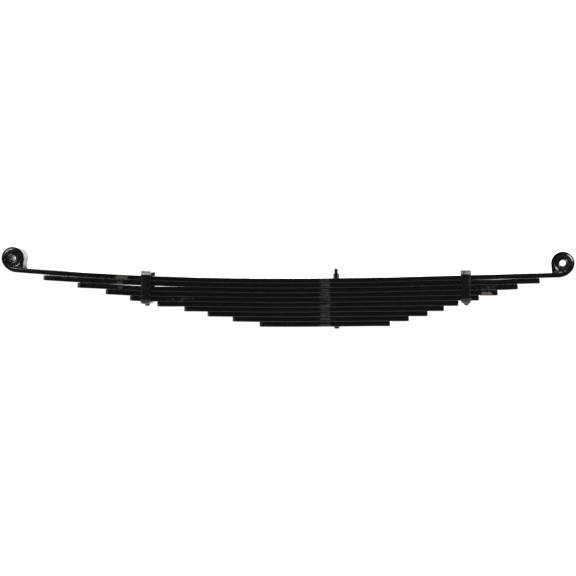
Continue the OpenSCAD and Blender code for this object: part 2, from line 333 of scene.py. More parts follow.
def eye_ring(station, turn, arm, shrink):
    """One section of an eye, turned to the leaf's slope and put round the eye's centre."""
    inner, outer = turn @ Vector(station[0]), turn @ Vector(station[1])
    share = station[2]
    mid, half = (inner + outer) / 2, (outer - inner) / 2
    thinner = half.length * shrink
    radius = min(EDGE_RADIUS, (half.length - thinner) * 0.8)
    crown = EDGE_CROWN + (EYE_FACE_CROWN - EDGE_CROWN) * share
    points, edge = bar_section(HALF_WIDTH - thinner, half.length - thinner, radius, crown,
                               slant=EYE_FACE_SLANT * share)
    up = -half.normalized()
    eye, sign = arm["eye"], arm["sign"]
    ring = [Vector((eye.x + sign * (mid.x + up.x * z), y, eye.z + mid.y + up.y * z))
            for y, z in points]
    return ring, edge


def main_leaf(material):
    """The main leaf, as two halves, each with its eye."""
    underside = Underside(MAIN)
    stations = eye_stations()
    shrinks = [0.0] * (len(stations) - len(WRAP_TIP_SHRINK)) + list(WRAP_TIP_SHRINK)
    points, edge = bar_section(HALF_WIDTH, THICKNESS / 2, EDGE_RADIUS, EDGE_CROWN)
    for side, arm in ARMS.items():
        last = abs(arm["eye"].x) - EYE_REACH
        steps = int(last / RING_STEP)
        rings, edges = [], edge * (steps + 1)
        for i in range(steps + 1):
            centre, slope = frame_at(underside, arm["sign"] * last * i / steps)
            rings.append(section_ring(centre, slope, points))
        turn = Matrix.Rotation(slope * arm["sign"], 2)
        for station, shrink in zip(stations, shrinks):
            ring, ring_edge = eye_ring(station, turn, arm, shrink)
            rings.append(ring)
            edges.extend(ring_edge)
        finish_leaf(MAIN, side, rings, edges, material)


# ---- Turned parts -------------------------------------------------------------------------
RUBBER_SLIP = 0.06 * MM       # between the rubber and the inner sleeve that turns in it


def lathe(profile, steps, matrix, closed=False):
    """A profile of (radius, along) turned about Z, then put in place. A closed profile is a
    ring; an open one starts and ends on the axis."""
    rings = []
    for i in range(steps):
        a = 2 * math.pi * i / steps
        rings.append([Vector((r * math.cos(a), r * math.sin(a), z)) for r, z in profile])
    if closed:
        verts, faces = loft(rings, closed=True)
    else:
        inner = [ring[1:-1] for ring in rings]
        size = len(inner[0])
        verts = [p for ring in inner for p in ring]
        first, last = len(verts), len(verts) + 1
        verts += [Vector((0, 0, profile[0][1])), Vector((0, 0, profile[-1][1]))]
        faces = []
        for i in range(steps):
            a, b = i * size, ((i + 1) % steps) * size
            for j in range(size - 1):
                faces.append((a + j, b + j, b + j + 1, a + j + 1))
            faces.append((first, b, a))
            faces.append((last, a + size - 1, b + size - 1))
    return [matrix @ v for v in verts], faces


def ring_piece(name, node, eye, profile, material, body):
    """A ring about an eye's axis, from a closed profile of (radius, along)."""
    steps = 96
    matrix = Matrix.Translation(eye) @ Matrix.Rotation(math.pi / 2, 4, "X")
    verts, faces = lathe(profile, steps, matrix, closed=True)
    attach(make_object(name, verts, faces, material, 35), body, node)


def tube_profile(inner, outer, half, chamfer, inner_chamfer=None):
    """Closed half-section of a tube with chamfered ends, rounded a little at each corner."""
    c, d = chamfer, inner_chamfer or chamfer
    return [(inner, -half + d), (inner + d * 0.35, -half + d * 0.35), (inner + d, -half),
            (outer - c, -half), (outer - c * 0.35, -half + c * 0.35), (outer, -half + c),
            (outer, half - c), (outer - c * 0.35, half - c * 0.35), (outer - c, half),
            (inner + d, half), (inner + d * 0.35, half - d * 0.35), (inner, half - d)]


def rubber_profile(inner, outer, half):
    """Moulded rubber: its end faces dip between the two sleeves and rise in a lip at each."""
    steps = 10
    lip, dip = 0.8 * MM, 2.6 * MM
    face = []
    for i in range(steps + 1):
        t = i / steps
        wave = math.sin(math.pi * t) ** 0.8
        face.append((inner + (outer - inner) * t, half + lip * (1 - wave) - dip * wave))
    return [(r, -z) for r, z in face] + [(r, z) for r, z in reversed(face)]


def bush(side, arm, materials):
    """Outer sleeve, rubber and inner sleeve in one eye."""
    boxes = {part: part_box(f"{side}_bush_{part}") for part in ("outer_sleeve", "rubber", "inner_sleeve")}
    radius = {part: (high.z - low.z) / 2 for part, (low, high) in boxes.items()}
    half = {part: high.y for part, (_, high) in boxes.items()}
    outer = tube_profile(radius["rubber"], radius["outer_sleeve"], half["outer_sleeve"], 0.5 * MM)
    filling = rubber_profile(radius["inner_sleeve"] + RUBBER_SLIP, radius["rubber"], half["rubber"])
    inner = tube_profile(arm["bore"], radius["inner_sleeve"], half["inner_sleeve"], 0.4 * MM, 0.7 * MM)
    for part, profile, look, body, slot in (
            ("outer_sleeve", outer, "sleeve", "eye_body", "sleeve_paint"),
            ("rubber", filling, "rubber", "eye_body", "bush_rubber"),
            ("inner_sleeve", inner, "bore", "pin_body", "sleeve_paint")):
        ring_piece(f"{side}_bush.{part}", f"{side}_bush_{part}", arm["eye"], profile,
                   materials[look], arm[body])


# ---- Centre bolt --------------------------------------------------------------------------
BOLT_RADIUS = 4.76 * MM
THREAD_PITCH = 1.27 * MM
THREAD_DEPTH = 0.45 * MM
THREAD_BELOW_NUT = 6 * MM     # the thread starts this far under the nut
STUD_ROUND = 2.4 * MM         # the stud's end is rounded over this length
NUT_SHOULDER = 1.05           # how fast the nut's shoulder widens, downwards


def stud_limit(left):
    """The radius that the stud's rounded end allows, at a distance from its tip."""
    closing = 2.55 * MM       # the rounding would close at this height, but is cut off flat
    if left > STUD_ROUND:
        return BOLT_RADIUS
    return BOLT_RADIUS * math.sqrt(1 - ((STUD_ROUND - left) / closing) ** 2)


def thread_radius(z, thread_from, turn):
    """Radius of a helical thread at a height, where turn is the share of a full turn."""
    phase = (z / THREAD_PITCH - turn) % 1.0
    ridge = smoothstep(abs(2 * phase - 1), 0.08, 0.92)
    started = smoothstep(z - thread_from, 0, THREAD_PITCH * 1.5)
    return BOLT_RADIUS - THREAD_DEPTH * (1 - ridge) * started


def centre_bolt(material):
    """Round-headed bolt: turned head and shank, and a helical thread over the stud's end."""
    low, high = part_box("centre_bolt")
    head = -low.z
    head_radius = (high.x - low.x) / 2
    thread_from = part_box("centre_bolt_nut")[0].z - THREAD_BELOW_NUT
    around, per_pitch = 48, 8
    angles = [2 * math.pi * i / around for i in range(around)]

    def row(z, radii):
        return [Vector((r * math.cos(a), r * math.sin(a), z)) for r, a in zip(radii, angles)]

    # the head's domed face, its rim and underside, then the shank, as (radius, height)
    outline = [(head_radius * share, -head + lift * head * 0.5) for share, lift in
               ((0.02, 0), (0.55, 0), (0.72, 0.02), (0.86, 0.09), (0.95, 0.20), (1.0, 0.42))]
    outline += [(head_radius, -0.6 * MM), (head_radius - 0.3 * MM, -0.05 * MM),
                (BOLT_RADIUS + 0.2 * MM, -0.05 * MM), (BOLT_RADIUS, 1 * MM), (BOLT_RADIUS, thread_from)]
    rows = [row(z, [radius] * around) for radius, z in outline]
    count = int((high.z - thread_from) / THREAD_PITCH * per_pitch)
    for k in range(1, count + 1):
        z = thread_from + (high.z - thread_from) * k / count
        limit = stud_limit(high.z - z)
        radii = [min(thread_radius(z, thread_from, i / around), limit) for i in range(around)]
        rows.append(row(z, radii))
    verts, faces = loft(rows)
    attach(make_object("centre_bolt.stud", verts, faces, material, 50),
           "leaf_pack", "centre_bolt")


def nut(material):
    """Hexagon nut: flats that blend into a chamfer cone at each end, and a countersunk bore."""
    low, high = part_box("centre_bolt_nut")
    height = high.z - low.z
    flat = (high.x - low.x) / 2 * math.cos(math.pi / 6)
    around = 72
    top_radius, foot_radius = BOLT_RADIUS * 1.25, flat * 0.97
    foot_chamfer = math.radians(32)

    def circle(z, radius):
        return [Vector((radius(a) * math.cos(a), radius(a) * math.sin(a), low.z + z))
                for a in (2 * math.pi * i / around for i in range(around))]

    def outline(z):
        top_cone = top_radius + (height - z) * NUT_SHOULDER
        foot_cone = foot_radius + z / math.tan(foot_chamfer)
        return circle(z, lambda a: min(flat / math.cos(a % (math.pi / 3) - math.pi / 6),
                                       top_cone, foot_cone))

    # heights of the rings in ninths of the nut's, close together where a chamfer starts or ends
    levels = [0, 0.15, 0.35, 0.6, 1.0, 1.6, 3, 4.5, 5.2, 5.6, 6.0, 6.4, 6.9, 7.5, 8.2, 8.8, 9.0]
    rings = [outline(height * v / levels[-1]) for v in levels]
    bore, sink = BOLT_RADIUS + 0.1 * MM, 0.6 * MM
    rings += [circle(height, lambda a: bore + sink), circle(height - sink, lambda a: bore),
              circle(sink, lambda a: bore), circle(0, lambda a: bore + sink)]
    verts, faces = loft(rings, closed=True)
    attach(make_object("centre_bolt.nut", verts, faces, material, 30),
           "leaf_pack", "centre_bolt_nut")


# ---- Rebound clips ------------------------------------------------------------------------
STRAP_THICKNESS = 6 * MM
STRAP_BEND = 1 * MM           # inner radius of its four bends
STRAP_BASE_GAP = 1.4 * MM     # between the strap and the fifth leaf
STRAP_EDGE_RADIUS = 0.7 * MM
STRAP_EDGE_CROWN = 0.05 * MM
STRAP_END_SOFT = (1.1 * MM, 0.35 * MM, 0.08 * MM)  # its last three rings are drawn in, end first
LUG_LENGTH = 37 * MM
PAINTED_HIGHLIGHT_DEPTH = 11 * MM        # the painted highlight on the bent ends reaches this far down
BASE_TAPER = 3 * MM           # each side of the strap draws in by this much under the leaves
DOME_RADIUS = 7.8 * MM
DOME_HEIGHT = 7.5 * MM
RIVET_SHANK = 5 * MM
RIVET_SINK = 1.4 * MM         # its closed end lies this far under the fifth leaf's top
RIVET_FLARE = (6.6 * MM, 4 * MM)  # that end's radius, and how far down the shank widens to it


def clip_frame(side):
    """The clip's place: origin on the riveted leaf's underside, X along the leaf."""
    low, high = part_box(f"{side}_clip_rivet")
    rivet_x = (low.x + high.x) / 2
    mesh = frame["nodes"][f"{side}_rebound_clip"].data
    side_y = max(v.co.y for v in mesh.vertices)
    wall = [v.co for v in mesh.vertices if v.co.y > side_y - 0.01 * MM]
    low_rear, high_front = min(wall, key=lambda p: p.x + p.z), max(wall, key=lambda p: p.x + p.z)
    high_rear, low_front = min(wall, key=lambda p: p.x - p.z), max(wall, key=lambda p: p.x - p.z)
    rise = (high_rear + high_front) - (low_rear + low_front)
    slope = math.atan2(-rise.x, rise.z)
    origin = Vector((rivet_x, 0, Underside("leaf_05").at(rivet_x)))
    return Matrix.Translation(origin) @ Matrix.Rotation(-slope, 4, "Y")


def strap_half_path(top, outer_y):
    """Half of the strap's middle line in (across, up), from under the leaves to the tip of a
    lug. Each station has its place, the direction outwards, and whether it gets the painted highlight."""
    mid_y = outer_y - STRAP_THICKNESS / 2
    base = -STRAP_BASE_GAP - STRAP_THICKNESS / 2
    roof = top - STRAP_THICKNESS / 2
    bend = STRAP_BEND + STRAP_THICKNESS / 2
    wall_foot, wall_top, corner_y = base + bend, roof - bend, mid_y - bend
    # the painted highlight of the bent-over top starts this far down
    highlight_from = top - PAINTED_HIGHLIGHT_DEPTH

    def corner(z, start, wear_and_highlight):
        outs = [Vector(p) for p in arc((0, 0), 1, start, start + 90, 8)]
        return [(Vector((corner_y, z)) + out * bend, out, wear_and_highlight) for out in outs]

    path = [(Vector((corner_y * i / 5, base)), Vector((0, -1)), 0.0) for i in range(5)]
    path += corner(wall_foot, -90, 0.0)
    wall = [wall_foot + (highlight_from - wall_foot) * i / 8 for i in range(1, 8)]
    wall += [highlight_from - 0.8 * MM, highlight_from + 0.8 * MM, (highlight_from + wall_top) / 2]
    path += [(Vector((mid_y, z)), Vector((1, 0)), 1.0 if z > highlight_from else 0.0) for z in wall]
    path += corner(wall_top, 0, 1.0)
    run = corner_y - (outer_y - STRAP_THICKNESS - LUG_LENGTH)
    path += [(Vector((corner_y - run * share, roof)), Vector((0, 1)), 1.0)
             for share in (0.35, 0.7, 0.9, 0.965, 0.992, 1.0)]
    return path


def rebound_clip(side, materials):
    """A strap bent under and round the upper leaves, its ends hammered over the main leaf."""
    turn = clip_frame(side)
    inverse = turn.inverted()
    local = [inverse @ v.co for v in frame["nodes"][f"{side}_rebound_clip"].data.vertices]
    half_strap = max(p.x for p in local)
    right = strap_half_path(max(p.z for p in local), max(p.y for p in local))
    left = [(Vector((-p.x, p.y)), Vector((-o.x, o.y)), lug) for p, o, lug in right[:0:-1]]
    path = left + right
    rings, lugs, edges = [], [], []
    for i, (p, out, lug) in enumerate(path):
        from_end = min(i, len(path) - 1 - i)
        soft = STRAP_END_SOFT[from_end] if from_end < len(STRAP_END_SOFT) else 0.0
        radius = max(0.3 * MM, STRAP_EDGE_RADIUS - soft)
        section, edge = bar_section(half_strap - soft, STRAP_THICKNESS / 2 - soft, radius,
                                    STRAP_EDGE_CROWN, flat_steps=4)
        ring = []
        for across, along in section:
            point = p + out * along
            narrow = BASE_TAPER * smoothstep(-point.y, 0, STRAP_THICKNESS + STRAP_BASE_GAP)
            width = across * (1 - narrow / half_strap)
            ring.append(turn @ Vector((width, point.x, point.y)))
        rings.append(ring)
        lugs.extend([lug] * len(ring))
        edges.extend(edge)
    verts, faces = loft(rings)
    # the lug attribute marks where the clip paint lays its painted highlight
    attach(make_object(f"{side}_clip.strap", verts, faces, materials["clip"], 40,
                       {"edge": edges, "lug": lugs}),
           ARMS[side]["clip_body"], f"{side}_rebound_clip")


def clip_rivet(side, materials):
    """Rivet with a hammered dome under the strap. Its closed end lies inside the fifth leaf."""
    base = -STRAP_BASE_GAP - STRAP_THICKNESS
    steps = 12
    profile = [(0, base - DOME_HEIGHT)]
    for i in range(1, steps + 1):
        a = math.pi / 2 * i / steps
        profile.append((DOME_RADIUS * math.sin(a) ** 0.82, base - DOME_HEIGHT * math.cos(a) ** 0.92))
    flare_radius, flare_from = RIVET_FLARE
    profile += [(DOME_RADIUS * 0.985, base), (RIVET_SHANK, base), (RIVET_SHANK, THICKNESS - flare_from),
                (flare_radius, THICKNESS - RIVET_SINK), (0, THICKNESS - RIVET_SINK)]
    verts, faces = lathe(profile, 48, clip_frame(side))
    attach(make_object(f"{side}_clip.rivet", verts, faces, materials["rivet"], 40),
           ARMS[side]["clip_body"], f"{side}_clip_rivet")


# ---- Materials ----------------------------------------------------------------------------
def map_range(tree, value, low, high, to_low, to_high):
    """A value eased from one range to another."""
    node = tree.nodes.new("ShaderNodeMapRange")
    node.interpolation_type = "SMOOTHSTEP"
    for key, number in (("From Min", low), ("From Max", high), ("To Min", to_low), ("To Max", to_high)):
        node.inputs[key].default_value = number
    tree.links.new(value, node.inputs["Value"])
    return node.outputs["Result"]


class Nodes:
    """Short calls for building one material's node tree."""

    def __init__(self, name):
        self.material = bpy.data.materials.new(name)
        self.material.use_nodes = True
        self.tree = self.material.node_tree
        self.tree.nodes.clear()
        self.output = self.tree.nodes.new("ShaderNodeOutputMaterial")
        self.place = self.tree.nodes.new("ShaderNodeTexCoord").outputs["Object"]

    def link(self, a, b):
        self.tree.links.new(a, b)

    def put(self, socket, value):
        if isinstance(value, bpy.types.NodeSocket):
            self.link(value, socket)
        else:
            socket.default_value = value

    def noise(self, scale, detail=3.0, roughness=0.55, stretch=(1, 1, 1), seed=0.0):
        mapping = self.tree.nodes.new("ShaderNodeMapping")
        mapping.inputs["Scale"].default_value = stretch
        mapping.inputs["Location"].default_value = (seed, seed * 0.7, seed * 1.3)
        self.link(self.place, mapping.inputs["Vector"])
        node = self.tree.nodes.new("ShaderNodeTexNoise")
        for key, number in (("Scale", scale), ("Detail", detail), ("Roughness", roughness)):
            node.inputs[key].default_value = number
        self.link(mapping.outputs["Vector"], node.inputs["Vector"])
        return node.outputs["Fac"]

    def math(self, operation, a, b=0.0, clamp=False):
        node = self.tree.nodes.new("ShaderNodeMath")
        node.operation = operation
        node.use_clamp = clamp
        self.put(node.inputs[0], a)
        self.put(node.inputs[1], b)
        return node.outputs[0]

    def product(self, first, *factors):
        """Values multiplied one after the other."""
        for factor in factors:
            first = self.math("MULTIPLY", first, factor)
        return first

    def ramp(self, value, low, high, to_low=0.0, to_high=1.0):
        return map_range(self.tree, value, low, high, to_low, to_high)

    def between(self, value, low, high, soft):
        """1 where a value is between two limits, falling to 0 over a soft width."""
        rise = self.ramp(value, low - soft, low + soft)
        fall = self.ramp(value, high - soft, high + soft, 1.0, 0.0)
        return self.product(rise, fall)

    def mixed(self, data_type, factor, a, b):
        node = self.tree.nodes.new("ShaderNodeMix")
        node.data_type = data_type
        for key, value in (("Factor", factor), ("A", a), ("B", b)):
            self.put(node.inputs[key], value)
        return node.outputs["Result"]

    def mix(self, factor, a, b):
        """From colour a to colour b."""
        return self.mixed("RGBA", factor, a, b)

    def blend(self, factor, a, b):
        """From number a to number b."""
        return self.mixed("FLOAT", factor, a, b)

    def part(self, vector, name):
        node = self.tree.nodes.new("ShaderNodeSeparateXYZ")
        self.link(vector, node.inputs[0])
        return node.outputs[name]

    def axis(self, name):
        """One coordinate of the shaded place."""
        return self.part(self.place, name)

    def normal(self, name):
        """One part of the shaded face's normal."""
        return self.part(self.tree.nodes.new("ShaderNodeNewGeometry").outputs["Normal"], name)

    def attribute(self, name):
        node = self.tree.nodes.new("ShaderNodeAttribute")
        node.attribute_name = name
        return node.outputs["Fac"]

    def bump(self, height, strength, distance, below=None):
        node = self.tree.nodes.new("ShaderNodeBump")
        node.inputs["Strength"].default_value = strength
        node.inputs["Distance"].default_value = distance
        self.link(height, node.inputs["Height"])
        if below is not None:
            self.link(below, node.inputs["Normal"])
        return node.outputs["Normal"]

    def surface(self, colour, roughness, metallic, normal, ior=1.42):
        node = self.tree.nodes.new("ShaderNodeBsdfPrincipled")
        self.put(node.inputs["Base Color"], colour)
        self.put(node.inputs["Roughness"], roughness)
        self.put(node.inputs["Metallic"], metallic)
        node.inputs["IOR"].default_value = ior
        self.link(normal, node.inputs["Normal"])
        self.link(node.outputs["BSDF"], self.output.inputs["Surface"])
        return self.material


BLACK_COOL = (0.0030, 0.0038, 0.0036, 1)
BLACK_WARM = (0.0044, 0.0040, 0.0036, 1)
DUST = (0.018, 0.0175, 0.015, 1)
STEEL = (0.24, 0.225, 0.205, 1)


class Enamel(Nodes):
    """Brushed-on black enamel over mill scale. Marks are laid over its colour and roughness."""

    def __init__(self, name):
        super().__init__(name)
        self.colour = self.mix(self.ramp(self.axis("X"), -0.35, 0.35), BLACK_COOL, BLACK_WARM)
        self.rough = self.ramp(self.noise(34, 4.0, 0.6), 0.3, 0.75, 0.08, 0.14)
        orange_peel = self.noise(230, 2.0, 0.45)
        mill_scale = self.noise(900, 3.0, 0.6, seed=3.1)
        sag = self.noise(38, 2.0, 0.5, stretch=(1, 1, 1.8), seed=7.7)
        self.relief = self.bump(orange_peel, 0.02, 0.0003)
        self.relief = self.bump(sag, 0.012, 0.0012, self.relief)
        self.relief = self.bump(mill_scale, 0.02, 0.00008, self.relief)

    def tint(self, mask, colour, opacity=1.0):
        self.colour = self.mix(self.product(mask, opacity), self.colour, colour)

    def roughen(self, mask, rough):
        self.rough = self.blend(mask, self.rough, rough)

    def cover(self, mask, colour, rough, opacity=1.0):
        """Lays a mark of its own colour and roughness over the paint."""
        self.tint(mask, colour, opacity)
        self.roughen(mask, rough)

    def settle_dust(self, amount):
        """Dust and dried overspray that settle on faces that look up."""
        up = self.ramp(self.normal("Z"), 0.55, 0.98)
        speck = self.ramp(self.noise(120, 5.0, 0.65, seed=1.7), 0.50, 0.72)
        film = self.ramp(self.noise(9, 3.0, 0.6, seed=5.2), 0.42, 0.70)
        thickest = self.math("MAXIMUM", self.product(speck, 0.6), film)
        dust = self.product(self.math("MULTIPLY", up, thickest, clamp=True), amount)
        self.cover(dust, DUST, 0.62)

    def finish(self, metallic=0.0, ior=1.42):
        return self.surface(self.colour, self.rough, metallic, self.relief, ior)


def dull_hidden_faces(n, open_side):
    """The faces between two leaves are duller, but less so where the rear arm's second gap
    stands open. It is above a leaf with an open side of 1 and under one with -1."""
    n.roughen(n.ramp(n.math("ABSOLUTE", n.normal("Z")), 0.90, 0.97), 0.33)
    if open_side:
        facing = n.ramp(n.math("MULTIPLY", n.normal("Z"), open_side), 0.90, 0.97)
        n.roughen(n.product(n.between(n.axis("X"), -0.630, -0.415, 0.030), facing), 0.21)


def crayon_band(n, front, x):
    """A dull streaky band, as of crayon, down every leaf beside the bolt."""
    streaks = n.ramp(n.noise(95, 4.0, 0.7, stretch=(0.45, 1, 2.6), seed=9.4), 0.32, 0.72)
    band = n.product(front, n.between(x, -0.0425, -0.0145, 0.0035), streaks)
    n.cover(band, (0.022, 0.022, 0.015, 1), 0.6, opacity=0.75)


def faded_stamp(n, front, x):
    """A faded paint stamp on the main leaf, with nothing readable in it."""
    fade = n.ramp(n.axis("X"), -0.628, -0.590, 0.15, 1.0)
    upper = n.ramp(n.axis("Z"), 0.134, 0.137)
    stamp = n.product(front, n.between(x, -0.612, -0.578, 0.004), upper, fade)
    n.cover(stamp, (0.044, 0.044, 0.033, 1), 0.55, opacity=0.8)


def rusty_place(n, front, x):
    """A bare rusty place on the short arm's side, where paint has come off."""
    height = n.between(n.axis("Z"), 0.0840, 0.0907, 0.0012)
    patches = n.ramp(n.noise(210, 3.0, 0.6, seed=4.4), 0.30, 0.50)
    rust = n.product(front, n.between(x, 0.404, 0.429, 0.002), height, patches)
    n.cover(rust, (0.135, 0.095, 0.060, 1), 0.75)


def backdrop_light_on_eye(n, x):
    """Painted light: a pale patch on the inboard face of the rear eye's wrap stands for light from the
    white backdrop, with darker spots, darker towards the bottom of the eye.
    """
    eye, z = ARMS["rear"]["eye"], n.axis("Z")
    inboard = n.ramp(n.normal("X"), 0.45, 0.75)
    patches = n.ramp(n.noise(70, 4.0, 0.6, seed=3.9), 0.30, 0.42)
    near = n.ramp(n.axis("Y"), 0.016, 0.026, 1.0, 0.0)
    fade = n.ramp(z, eye.z - 0.026, eye.z + 0.026, 1.0, 0.75)
    wrap = n.between(x, eye.x + 0.018, eye.x + 0.040, 0.002)
    # painted light: a pale patch standing for light from the white backdrop
    stain_and_light = n.product(inboard, wrap, patches, near, fade)
    dark = n.math("MAXIMUM", n.ramp(n.noise(110, 3.0, 0.6, seed=7.1), 0.58, 0.66),
                  n.ramp(z, eye.z - 0.027, eye.z - 0.014, 0.9, 0.0))
    # the pale colour is painted light; the darker colour grows towards the bottom of the eye
    n.cover(stain_and_light, n.mix(dark, (0.15, 0.15, 0.125, 1), (0.045, 0.045, 0.038, 1)), 0.55)


def smudges(n, front, x):
    """Smudges on the two leaves under the stamp, and a worn place above the rust."""
    z = n.axis("Z")
    second, third = (Underside(leaf).at(-0.605) for leaf in ("leaf_02", "leaf_03"))
    smudge = n.math("MAXIMUM", n.between(z, second + 2 * MM, second + 7 * MM, 0.001),
                    n.between(z, third + 4 * MM, third + 8 * MM, 0.001))
    smudge = n.product(smudge, n.between(x, -0.608, -0.594, 0.003))
    wear_and_highlight = n.product(n.between(x, 0.402, 0.438, 0.004), n.between(z, 0.094, 0.108, 0.002),
                       n.ramp(n.noise(120, 3.0, 0.6, seed=6.7), 0.42, 0.62), 0.4)
    mask = n.product(front, n.math("MAXIMUM", smudge, wear_and_highlight))
    n.cover(mask, (0.042, 0.042, 0.038, 1), 0.55, opacity=0.7)


def scuffed_stretch(n, front, x):
    """A scuffed stretch on the fifth leaf's side."""
    low = Underside("leaf_05").at(-0.43)
    height = n.between(n.axis("Z"), low + 1 * MM, low + 11 * MM, 0.001)
    specks = n.ramp(n.noise(260, 4.0, 0.8, stretch=(0.8, 1, 1.1), seed=11.3), 0.57, 0.66)
    scuff = n.product(front, n.between(x, -0.470, -0.395, 0.006), height, specks)
    n.cover(scuff, (0.13, 0.13, 0.12, 1), 0.6, opacity=0.5)


def edge_wear(n):
    """A few scuffs, and nicks on the rolled edges. Returns where the nicks bare the steel."""
    nick = n.product(n.attribute("edge"), n.ramp(n.noise(260, 4.0, 0.7, seed=8.8), 0.665, 0.70),
                     n.ramp(n.noise(17, 2.0, 0.5, seed=6.1), 0.56, 0.66))
    scuff = n.product(n.ramp(n.noise(420, 3.0, 0.7, stretch=(0.25, 1, 1), seed=2.9), 0.64, 0.72),
                      n.ramp(n.noise(21, 2.0, 0.5, seed=3.6), 0.60, 0.70))
    n.tint(scuff, (0.05, 0.05, 0.045, 1), 0.5)
    n.cover(nick, STEEL, 0.5)
    return nick


def leaf_paint(name, has_hidden_faces, open_side=0):
    """Black enamel on a leaf, with the marks and wear of the whole pack, and painted light on the rear
    eye.
    """
    n = Enamel(name)
    if has_hidden_faces:
        dull_hidden_faces(n, open_side)
    else:
        n.settle_dust(0.55)
    front = n.ramp(n.normal("Y"), -0.75, -0.35, 1.0, 0.0)
    wobble = n.math("SUBTRACT", n.noise(160, 3.0, 0.6, seed=2.3), 0.5)
    x = n.math("ADD", n.axis("X"), n.product(wobble, 0.020))
    crayon_band(n, front, x)
    faded_stamp(n, front, x)
    rusty_place(n, front, x)
    # painted light: a pale patch on the rear eye's inboard face
    backdrop_light_on_eye(n, x)
    smudges(n, front, x)
    scuffed_stretch(n, front, x)
    return n.finish(metallic=n.product(edge_wear(n), 0.8))


def hardware_paint(name, scoured=0.0):
    """Enamel on the bolt, nut and rivets, flatter than on the leaves, and scoured grey by a
    share."""
    n = Enamel(name)
    n.tint(n.ramp(n.noise(230, 4.0, 0.7, seed=6.4), 0.34, 0.62), (0.019, 0.019, 0.017, 1), scoured)
    n.settle_dust(0.4)
    n.rough = n.math("ADD", n.rough, 0.2)
    return n.finish(ior=1.35)


def clip_paint():
    """Clip straps: rougher paint than the leaves, scoured at the foot, and a painted highlight on the
    bent-over lugs: light grey, partly metallic paint where light from above falls, lighter on the rear
    clip."""
    n = Enamel("clip_black_enamel")
    mottle = n.noise(150, 5.0, 0.65, seed=4.9)
    n.tint(n.ramp(mottle, 0.45, 0.68), (0.0060, 0.0062, 0.0058, 1))
    n.rough = n.ramp(mottle, 0.35, 0.7, 0.12, 0.22)
    feet = [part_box(f"{side}_rebound_clip")[0].z for side in ("rear", "front")]
    above_foot = n.math("SUBTRACT", n.axis("Z"), n.ramp(n.axis("X"), -0.1, 0.1, *feet))
    scoured = n.product(n.ramp(above_foot, 11 * MM, 15 * MM, 1.0, 0.0),
                        n.ramp(n.noise(190, 4.0, 0.7, seed=2.2), 0.32, 0.62))
    n.cover(scoured, (0.017, 0.017, 0.0155, 1), 0.5, opacity=0.8)
    n.roughen(n.ramp(n.math("ABSOLUTE", n.normal("X")), 0.4, 0.9), 0.5)
    patches = n.ramp(n.noise(70, 4.0, 0.65, stretch=(1.6, 1, 1), seed=7.3), 0.28, 0.52)
    # painted highlight: the lugs' bent-over tops are painted light grey and partly metallic where light
    # from above falls, lighter on the rear clip than on the front
    wear_and_highlight = n.product(n.attribute("lug"), patches)
    rear_highlight, front_highlight = (0.36, 0.36, 0.34, 1), (0.22, 0.22, 0.20, 1)
    n.cover(wear_and_highlight, n.mix(n.ramp(n.axis("X"), -0.2, 0.2), rear_highlight, front_highlight), 0.42)
    nick = n.product(n.attribute("edge"), n.ramp(n.noise(300, 4.0, 0.7, seed=1.1), 0.62, 0.68))
    n.tint(nick, STEEL, 0.6)
    n.relief = n.bump(mottle, 0.06, 0.0004, n.relief)
    return n.finish(metallic=n.product(wear_and_highlight, 0.55))


def sleeve_paint():
    """Outer sleeve: the leaves' enamel over turning marks."""
    n = Enamel("sleeve_black_paint")
    turning = n.noise(500, 2.0, 0.5, stretch=(1, 0.05, 1), seed=3.3)
    n.relief = n.bump(turning, 0.1, 0.0001, n.relief)
    return n.finish()


def bore_steel():
    """Inner sleeve: drawn steel, painted on its ends, dull and stained in the bore."""
    n = Enamel("inner_sleeve_steel")
    inside = n.ramp(n.math("ABSOLUTE", n.normal("Y")), 0.15, 0.45, 1.0, 0.0)
    stain_and_light = n.noise(140, 4.0, 0.6, stretch=(1, 0.4, 1), seed=5.5)
    bare = n.mix(n.ramp(stain_and_light, 0.35, 0.7), (0.115, 0.115, 0.11, 1), (0.06, 0.058, 0.052, 1))
    n.cover(inside, bare, 0.62)
    return n.finish()


def rubber():
    """Moulded black rubber with a faint grey bloom."""
    n = Nodes("bush_black_rubber")
    bloom = n.ramp(n.noise(60, 4.0, 0.6, seed=2.7), 0.45, 0.75)
    colour = n.mix(bloom, (0.006, 0.006, 0.006, 1), (0.014, 0.014, 0.0135, 1))
    rough = n.ramp(n.noise(180, 3.0, 0.6, seed=6.6), 0.3, 0.7, 0.34, 0.5)
    normal = n.bump(n.noise(1200, 3.0, 0.6), 0.15, 0.0001)
    return n.surface(colour, rough, 0.0, normal)


# ---- Studio -------------------------------------------------------------------------------
CAMERA_PLACE = Vector((0.520, -6.880, 0.380))
CAMERA_YAW, CAMERA_PITCH, CAMERA_ROLL = 5.434, -2.265, -0.844  # degrees
CAMERA_LENS, CAMERA_SENSOR = 155.6, 36.0
FLOOR_DROP = 0.30             # from the object's lowest point down to the floor
FLOOR_RADII = (1.95, 1.5)     # along the spring and across it
FLOOR_GLOW = 0.25
BACKDROP, ROOM, CEILING = 3.2, 0.06, 0.30  # radiance behind, in front and above
SEEN_WHITE = 1.02             # radiance that the camera sees past the object
GLINT_DISTANCE = 3.0          # from an eye to the softbox that it mirrors


